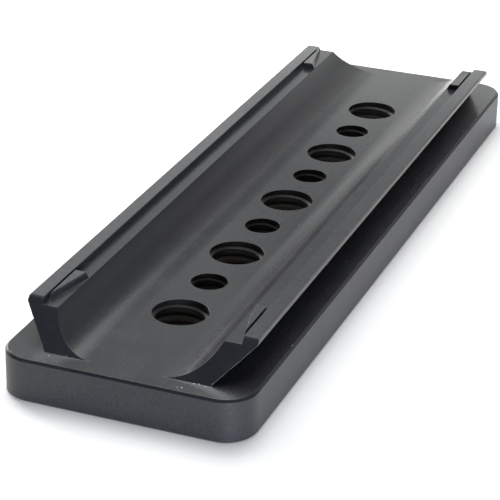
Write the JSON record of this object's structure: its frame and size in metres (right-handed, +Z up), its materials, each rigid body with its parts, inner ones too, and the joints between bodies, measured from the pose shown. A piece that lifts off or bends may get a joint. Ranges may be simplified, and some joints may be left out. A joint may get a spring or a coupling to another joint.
{
  "type": "quick-release camera plate",
  "caption": "Long quick-release camera plate: a flat slab with undercut dovetail rails along its sides, wedge-shaped stop lugs on the rails and a row of threaded holes down a rounded channel.",
  "frame": {"origin": "middle of the flat underside, on the face that the plate rests on", "axes": "+Y along the plate's length, +Z up and out of the dovetail side, X across"},
  "size_m": [0.0428, 0.15, 0.0141],
  "materials": {
    "anodised_metal": "black anodised, satin, with fine machining lines"
  },
  "bodies": {
    "root": {"camera_plate": "anodised_metal"}
  },
  "joints": []
}
